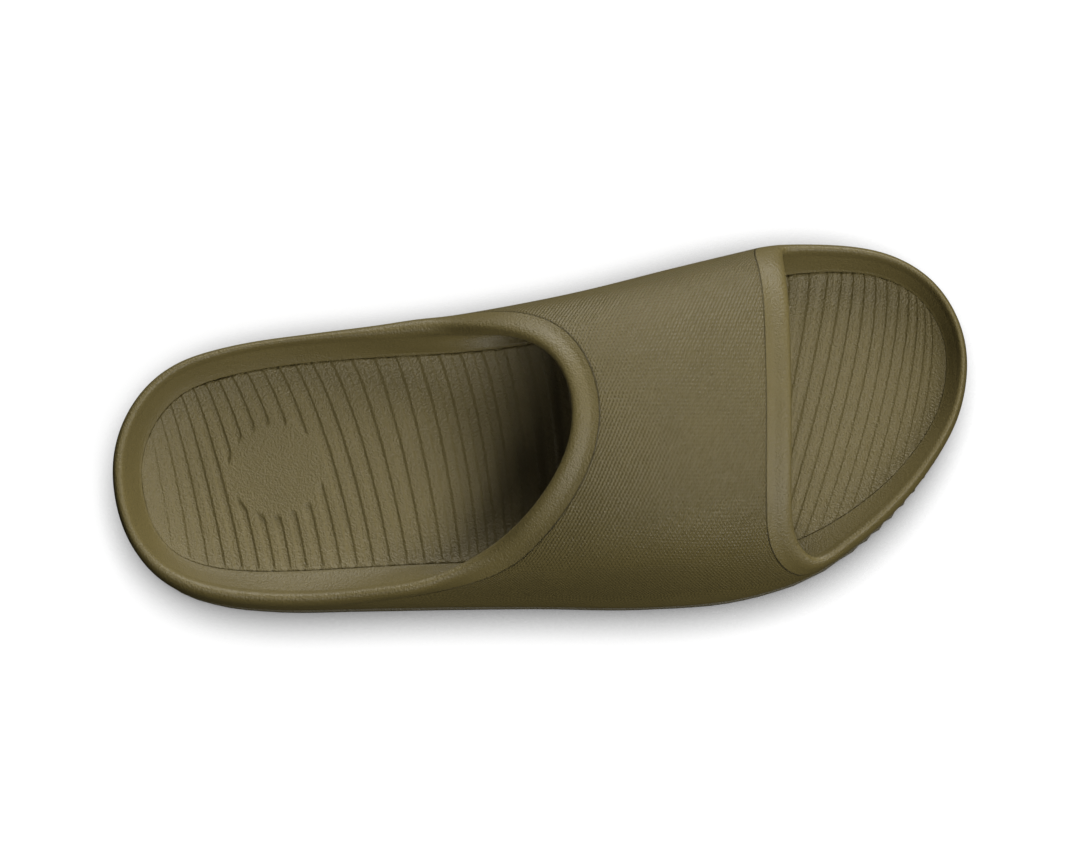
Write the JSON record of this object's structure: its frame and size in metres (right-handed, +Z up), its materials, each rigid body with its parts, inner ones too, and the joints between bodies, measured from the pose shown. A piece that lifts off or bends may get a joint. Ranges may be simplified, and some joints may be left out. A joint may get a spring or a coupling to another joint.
{
  "type": "sport slide sandal",
  "caption": "Right-foot moulded foam slide with a raised rim, one wide band over the instep, open toe and heel, ribbed footbed and lugged tread.",
  "frame": {"origin": "middle of the bounding box's underside, on the floor under the sole", "axes": "+Y from heel to toe, +X to the outer side of the right foot, +Z up"},
  "size_m": [0.1132, 0.2863, 0.0748],
  "materials": {
    "body_foam": "semi-matte moulded foam, olive",
    "footbed_foam": "semi-matte moulded foam, olive, ribbed",
    "tread_rubber": "matte, olive, lugged"
  },
  "bodies": {
    "root": {"slide_body": "body_foam", "footbed": "footbed_foam", "outsole": "tread_rubber"}
  },
  "joints": []
}
